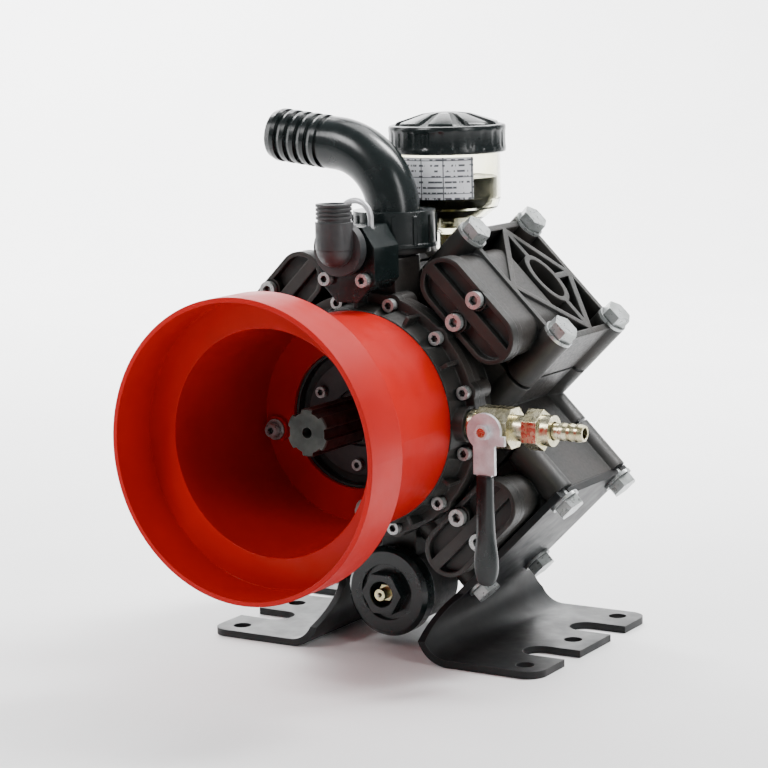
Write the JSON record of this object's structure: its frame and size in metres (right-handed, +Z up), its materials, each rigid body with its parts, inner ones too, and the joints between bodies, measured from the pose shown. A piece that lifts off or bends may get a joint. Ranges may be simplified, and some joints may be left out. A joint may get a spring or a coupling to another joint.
{
  "type": "power take-off diaphragm pump",
  "caption": "Radial diaphragm pump with a bell drive guard, splined shaft, suction elbow, outlet, oil cup, ball valve and slotted feet.",
  "frame": {"origin": "middle of the four outer foot bolt holes, on the floor plane under the feet", "axes": "+Z up from the feet, -Y out of the splined shaft through the guard, +X towards the ball valve and hose tail"},
  "size_m": [0.3295, 0.35, 0.4072],
  "materials": {
    "cast_paint": "dark satin paint on cast aluminium",
    "guard_plastic": "satin",
    "zinc": "satin",
    "steel": "machined",
    "black_gloss": "gloss",
    "black_matte": "matte",
    "foot_paint": "satin",
    "cup_glass": "clear",
    "brass": "bright",
    "seal_rubber": "matte",
    "liner_alloy": "machined"
  },
  "bodies": {
    "pump": {"air_valve_body": "brass", "bearing_outer_rings": "steel", "cover_screws": "zinc", "crankcase": "cast_paint", "cylinder_liners": "liner_alloy", "damper_cap": "black_gloss", "delivery_block": "black_matte", "diaphragms": "seal_rubber", "foot_left": "foot_paint", "foot_right": "foot_paint", "front_cover": "cast_paint", "guard_screws": "zinc", "head_bolts": "zinc", "head_lower_left": "cast_paint", "head_lower_right": "cast_paint", "head_upper_left": "cast_paint", "head_upper_right": "cast_paint", "hose_tail": "brass", "o_rings": "seal_rubber", "oil_cup": "cup_glass", "oil_cup_nipple": "brass", "pto_guard": "guard_plastic", "rear_cover": "cast_paint", "retainer_screws": "zinc", "seal_retainer": "black_matte", "shaft_seal": "seal_rubber", "suction_ring_nut": "black_gloss", "union_nut": "brass", "valve_body": "brass", "valve_cartridges": "steel", "valve_cover_screws": "zinc", "valve_covers": "cast_paint", "valve_springs": "steel"},
    "crank": {"crankshaft": "steel", "bearing_inner_rings": "steel"},
    "eccentric": {"eccentric_ring": "steel"},
    "ball_sets": {"bearing_balls": "steel", "bearing_cages": "brass"},
    "elbow": {"suction_elbow": "black_gloss"},
    "outlet": {"outlet_elbow": "black_matte"},
    "clip": {"outlet_clip": "zinc"},
    "gasket": {"oil_cap_gasket": "seal_rubber"},
    "cap": {"oil_cap": "black_gloss"},
    "lever": {"valve_ball": "brass", "valve_lever": "zinc", "lever_nut": "zinc", "lever_grip": "black_gloss"},
    "air_pin": {"air_valve_pin": "steel"},
    "piston_upper_right": {"piston_upper_right": "liner_alloy"},
    "suction_poppet_upper_right": {"suction_poppet_upper_right": "steel"},
    "delivery_poppet_upper_right": {"delivery_poppet_upper_right": "steel"},
    "piston_upper_left": {"piston_upper_left": "liner_alloy"},
    "suction_poppet_upper_left": {"suction_poppet_upper_left": "steel"},
    "delivery_poppet_upper_left": {"delivery_poppet_upper_left": "steel"},
    "piston_lower_right": {"piston_lower_right": "liner_alloy"},
    "suction_poppet_lower_right": {"suction_poppet_lower_right": "steel"},
    "delivery_poppet_lower_right": {"delivery_poppet_lower_right": "steel"},
    "piston_lower_left": {"piston_lower_left": "liner_alloy"},
    "suction_poppet_lower_left": {"suction_poppet_lower_left": "steel"},
    "delivery_poppet_lower_left": {"delivery_poppet_lower_left": "steel"}
  },
  "joints": [
    {"name": "crank_spin", "type": "hinge", "parent": "pump", "child": "crank", "pos_m": [0, 0.015, 0.183], "axis": [0, 1, 0], "continuous": true},
    {"name": "eccentric_spin", "type": "hinge", "parent": "crank", "child": "eccentric", "pos_m": [0, 0.015, 0.189], "axis": [0, 1, 0], "continuous": true},
    {"name": "ball_orbit", "type": "hinge", "parent": "pump", "child": "ball_sets", "pos_m": [0, 0.015, 0.183], "axis": [0, 1, 0], "continuous": true},
    {"name": "piston_slide_upper_right", "type": "slide", "parent": "pump", "child": "piston_upper_right", "axis": [0.7071, 0, 0.7071], "range_m": [-0.006, 0.006], "deforming": ["diaphragms"]},
    {"name": "piston_slide_upper_left", "type": "slide", "parent": "pump", "child": "piston_upper_left", "axis": [-0.7071, 0, 0.7071], "range_m": [-0.006, 0.006], "deforming": ["diaphragms"]},
    {"name": "piston_slide_lower_right", "type": "slide", "parent": "pump", "child": "piston_lower_right", "axis": [0.7071, 0, -0.7071], "range_m": [-0.006, 0.006], "deforming": ["diaphragms"]},
    {"name": "piston_slide_lower_left", "type": "slide", "parent": "pump", "child": "piston_lower_left", "axis": [-0.7071, 0, -0.7071], "range_m": [-0.006, 0.006], "deforming": ["diaphragms"]},
    {"name": "suction_lift_upper_right", "type": "slide", "parent": "pump", "child": "suction_poppet_upper_right", "axis": [0, 1, 0], "range_m": [0, 0.003], "stiffness_N_per_m": 400, "springref_m": -0.001, "deforming": ["valve_springs"]},
    {"name": "delivery_lift_upper_right", "type": "slide", "parent": "pump", "child": "delivery_poppet_upper_right", "axis": [0, -1, 0], "range_m": [0, 0.003], "stiffness_N_per_m": 400, "springref_m": -0.001, "deforming": ["valve_springs"]},
    {"name": "suction_lift_upper_left", "type": "slide", "parent": "pump", "child": "suction_poppet_upper_left", "axis": [0, 1, 0], "range_m": [0, 0.003], "stiffness_N_per_m": 400, "springref_m": -0.001, "deforming": ["valve_springs"]},
    {"name": "delivery_lift_upper_left", "type": "slide", "parent": "pump", "child": "delivery_poppet_upper_left", "axis": [0, -1, 0], "range_m": [0, 0.003], "stiffness_N_per_m": 400, "springref_m": -0.001, "deforming": ["valve_springs"]},
    {"name": "suction_lift_lower_right", "type": "slide", "parent": "pump", "child": "suction_poppet_lower_right", "axis": [0, 1, 0], "range_m": [0, 0.003], "stiffness_N_per_m": 400, "springref_m": -0.001, "deforming": ["valve_springs"]},
    {"name": "delivery_lift_lower_right", "type": "slide", "parent": "pump", "child": "delivery_poppet_lower_right", "axis": [0, -1, 0], "range_m": [0, 0.003], "stiffness_N_per_m": 400, "springref_m": -0.001, "deforming": ["valve_springs"]},
    {"name": "suction_lift_lower_left", "type": "slide", "parent": "pump", "child": "suction_poppet_lower_left", "axis": [0, 1, 0], "range_m": [0, 0.003], "stiffness_N_per_m": 400, "springref_m": -0.001, "deforming": ["valve_springs"]},
    {"name": "delivery_lift_lower_left", "type": "slide", "parent": "pump", "child": "delivery_poppet_lower_left", "axis": [0, -1, 0], "range_m": [0, 0.003], "stiffness_N_per_m": 400, "springref_m": -0.001, "deforming": ["valve_springs"]},
    {"name": "elbow_swivel", "type": "hinge", "parent": "pump", "child": "elbow", "pos_m": [0, -0.042, 0.323], "axis": [0, 0, 1], "range_deg": [-25, 205]},
    {"name": "outlet_swivel", "type": "hinge", "parent": "pump", "child": "outlet", "pos_m": [0, -0.115, 0.31], "axis": [0, 1, 0], "range_deg": [-90, 90]},
    {"name": "clip_pull", "type": "slide", "parent": "pump", "child": "clip", "axis": [0, 0, 1], "range_m": [0, 0.014]},
    {"name": "cap_lift", "type": "slide", "parent": "pump", "child": "gasket", "axis": [0, 0, 1], "range_m": [0, 0.012]},
    {"name": "cap_turn", "type": "hinge", "parent": "gasket", "child": "cap", "pos_m": [0, 0.04, 0.375], "axis": [0, 0, 1], "range_deg": [0, 721]},
    {"name": "lever_turn", "type": "hinge", "parent": "pump", "child": "lever", "pos_m": [0.113, -0.09, 0.183], "axis": [0, -1, 0], "range_deg": [0, 90]},
    {"name": "air_pin_press", "type": "slide", "parent": "pump", "child": "air_pin", "axis": [0, 1, 0], "range_m": [0, 0.0015], "stiffness_N_per_m": 300, "springref_m": -0.001}
  ],
  "couplings": [
    {"joint": "eccentric_spin", "follows": "crank_spin", "ratio": -1},
    {"joint": "ball_orbit", "follows": "crank_spin", "ratio": 0.4},
    {"joint": "piston_slide_lower_left", "follows": "piston_slide_upper_right", "ratio": -1},
    {"joint": "piston_slide_lower_right", "follows": "piston_slide_upper_left", "ratio": -1},
    {"joint": "cap_turn", "follows": "cap_lift", "rad_per_m": 1047.2}
  ]
}
